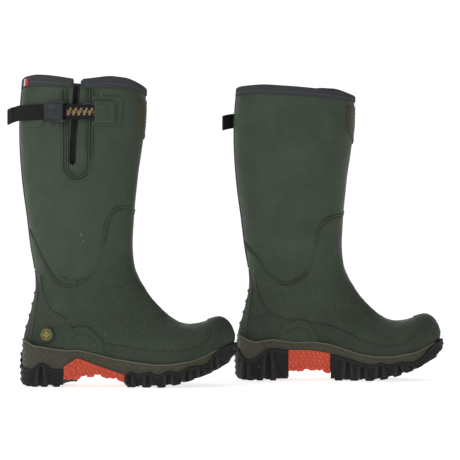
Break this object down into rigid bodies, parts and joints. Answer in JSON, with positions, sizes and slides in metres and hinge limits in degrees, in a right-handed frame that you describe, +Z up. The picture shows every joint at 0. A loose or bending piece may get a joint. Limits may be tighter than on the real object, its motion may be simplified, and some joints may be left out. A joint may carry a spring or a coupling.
{
  "type": "insulated hunting boots",
  "caption": "Pair of knee-high insulated rubber hunting boots with a side gusset, buckled strap, layered sole and neoprene lining, standing staggered.",
  "frame": {"origin": "centre of the bounding box's bottom face, on the ground between the two boots", "axes": "+X from heel to toe of both boots, +Y from the right boot to the left boot, +Z up"},
  "size_m": [0.6326, 0.2824, 0.4409],
  "materials": {
    "green_rubber": "moulded natural rubber, fine matt grain",
    "black_rubber": "moulded outsole rubber, matt",
    "olive_rubber": "moulded rubber, matt",
    "red_rubber": "moulded rubber, slightly glossy",
    "neoprene": "knit-faced neoprene",
    "binding_tape": "woven binding tape",
    "webbing": "woven polyester webbing",
    "grey_plastic": "moulded acetal, fine matt",
    "steel": "plain steel",
    "badge_rubber": "moulded rubber, satin",
    "label_cloth": "woven label",
    "foam": "closed-cell foam",
    "board": "pressed fibre board"
  },
  "bodies": {
    "right_boot": {"right_leg_shell": "green_rubber", "right_foot_shell": "green_rubber", "right_foxing": "green_rubber", "right_heel_spur": "green_rubber", "right_back_stay": "green_rubber", "right_slit_band": "green_rubber", "right_strap_front_patch": "green_rubber", "right_strap_rear_patch": "green_rubber", "right_front_badge": "badge_rubber", "right_ankle_badge": "badge_rubber", "right_lining_bootie": "neoprene", "right_gusset": "neoprene", "right_rim_binding": "binding_tape", "right_side_label": "label_cloth", "right_buckle_frame": "grey_plastic", "right_buckle_pin": "steel", "right_midsole": "olive_rubber", "right_heel_outsole": "black_rubber", "right_arch_insert": "red_rubber", "right_forefoot_outsole": "black_rubber", "right_foam_core": "foam", "right_shank": "steel", "right_insole_board": "board", "right_heel_stiffener": "board", "right_toe_puff": "board", "right_footbed": "foam"},
    "right_strap": {"right_strap": "webbing"},
    "right_lever": {"right_buckle_lever": "grey_plastic"},
    "left_boot": {"left_leg_shell": "green_rubber", "left_foot_shell": "green_rubber", "left_foxing": "green_rubber", "left_heel_spur": "green_rubber", "left_back_stay": "green_rubber", "left_slit_band": "green_rubber", "left_strap_front_patch": "green_rubber", "left_strap_rear_patch": "green_rubber", "left_front_badge": "badge_rubber", "left_ankle_badge": "badge_rubber", "left_lining_bootie": "neoprene", "left_gusset": "neoprene", "left_rim_binding": "binding_tape", "left_side_label": "label_cloth", "left_buckle_frame": "grey_plastic", "left_buckle_pin": "steel", "left_midsole": "olive_rubber", "left_heel_outsole": "black_rubber", "left_arch_insert": "red_rubber", "left_forefoot_outsole": "black_rubber", "left_foam_core": "foam", "left_shank": "steel", "left_insole_board": "board", "left_heel_stiffener": "board", "left_toe_puff": "board", "left_footbed": "foam"},
    "left_strap": {"left_strap": "webbing"},
    "left_lever": {"left_buckle_lever": "grey_plastic"}
  },
  "joints": [
    {"name": "left_boot_slide", "type": "slide", "parent": "right_boot", "child": "left_boot", "axis": [1, 0, 0], "range_m": [-0.306, 0]},
    {"name": "right_buckle_lever_hinge", "type": "hinge", "parent": "right_boot", "child": "right_lever", "pos_m": [-0.23616, -0.13714, 0.387], "axis": [0, 0, 1], "range_deg": [0, 100]},
    {"name": "right_strap_pull", "type": "hinge", "parent": "right_boot", "child": "right_strap", "pos_m": [-0.21016, -0.0115, 0.387], "axis": [0, 0, -1], "range_deg": [0, 7]},
    {"name": "left_buckle_lever_hinge", "type": "hinge", "parent": "left_boot", "child": "left_lever", "pos_m": [0.06984, 0.13714, 0.387], "axis": [0, 0, -1], "range_deg": [0, 100]},
    {"name": "left_strap_pull", "type": "hinge", "parent": "left_boot", "child": "left_strap", "pos_m": [0.09584, 0.0115, 0.387], "axis": [0, 0, 1], "range_deg": [0, 7]}
  ]
}
